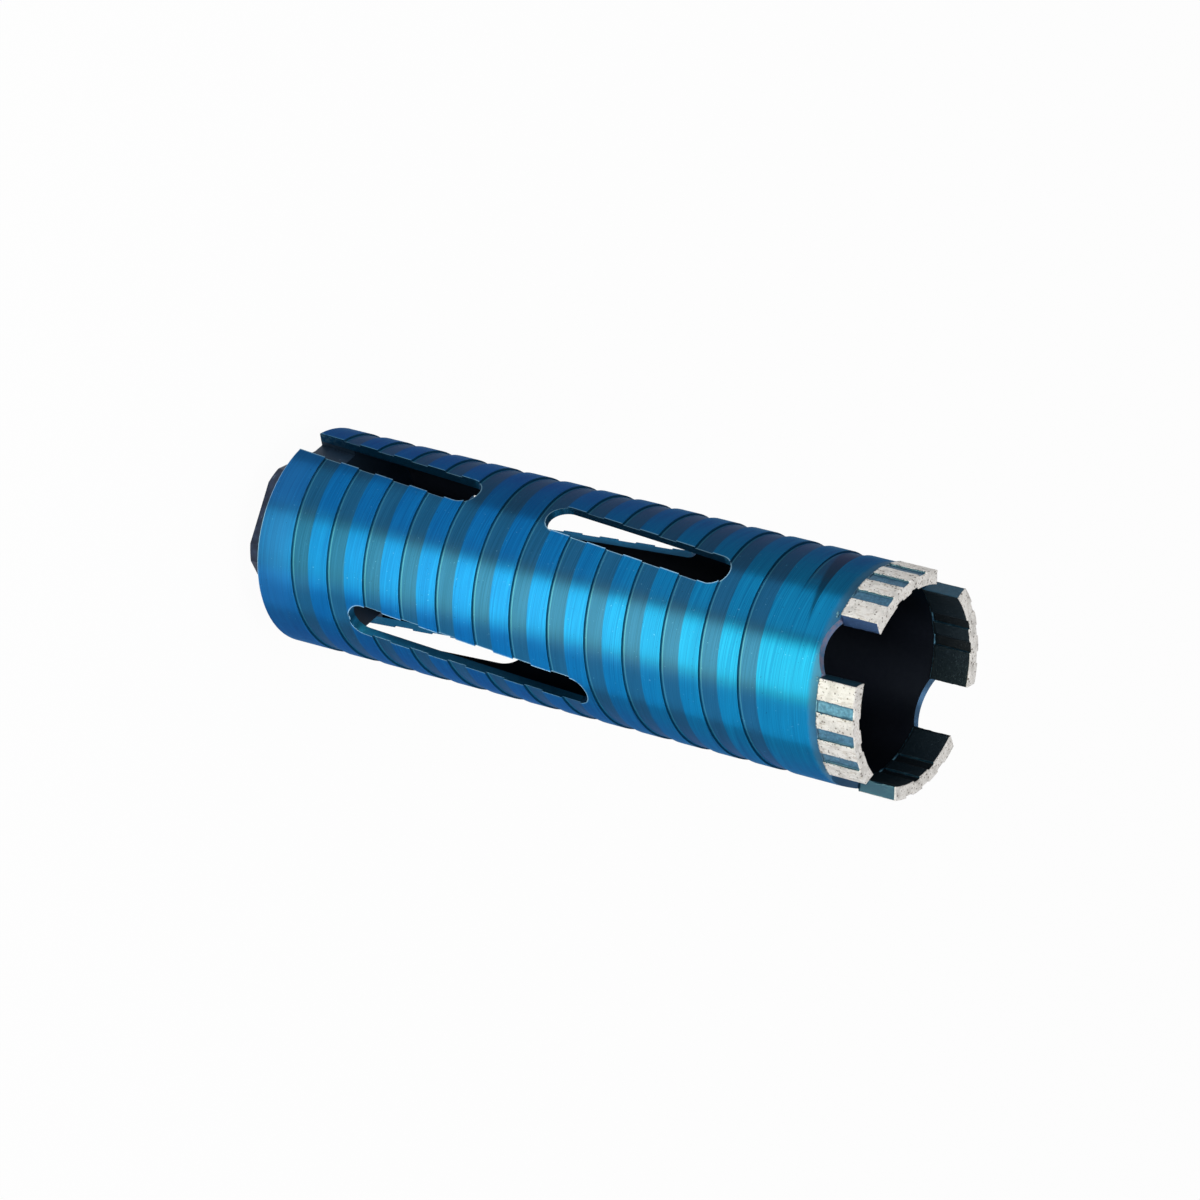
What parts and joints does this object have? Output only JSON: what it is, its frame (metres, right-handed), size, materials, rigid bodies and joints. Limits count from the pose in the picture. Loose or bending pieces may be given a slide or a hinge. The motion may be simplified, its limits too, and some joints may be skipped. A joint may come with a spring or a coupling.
{
  "type": "diamond core bit",
  "caption": "Slotted steel core barrel with a spiral groove, a threaded hexagon hub at one end and diamond segments around the open rim.",
  "frame": {"origin": "centre of the hub's flat rear face, on which the bit stands", "axes": "+Z along the bit's axis towards the cutting rim; +X through the middle of one segment, and through the rear end of an open slot"},
  "size_m": [0.051, 0.051, 0.1672],
  "materials": {
    "barrel_paint": "transparent blue lacquer over circumferentially brushed steel, duller in the groove",
    "hub_paint": "matt dark blue paint over turned steel",
    "segment_matrix": "sintered metal with diamond grit, ground bright on the lands and the end, blue paint in the grooves and on the flanks"
  },
  "bodies": {
    "root": {"barrel": "barrel_paint", "hub": "hub_paint", "segment_1": "segment_matrix", "segment_2": "segment_matrix", "segment_3": "segment_matrix", "segment_4": "segment_matrix"}
  },
  "joints": []
}
